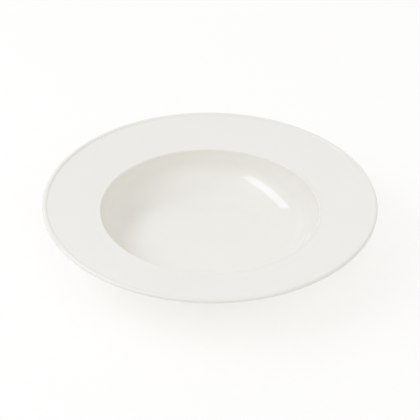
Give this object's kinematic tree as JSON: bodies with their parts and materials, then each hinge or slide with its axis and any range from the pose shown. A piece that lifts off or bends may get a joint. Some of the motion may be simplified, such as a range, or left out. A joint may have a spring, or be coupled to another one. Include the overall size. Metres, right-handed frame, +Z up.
{
  "type": "pasta bowl",
  "caption": "Wide-rim glazed ceramic pasta bowl: a deep round well with a low roll at its verge, inside a broad, gently rising rim with a raised round bead at its edge, standing on a bare foot ring.",
  "frame": {"origin": "centre of the plane that the foot ring stands on", "axes": "+Z up, along the bowl's axis of revolution, from the foot to the mouth"},
  "size_m": [0.3, 0.3, 0.053],
  "materials": {
    "fired_clay": "dry, bare fired clay, matt and slightly rough",
    "glaze": "smooth, glossy, warm white glaze"
  },
  "bodies": {
    "root": {"clay_body": "fired_clay", "glaze_coat": "glaze", "base_glaze": "glaze"}
  },
  "joints": []
}
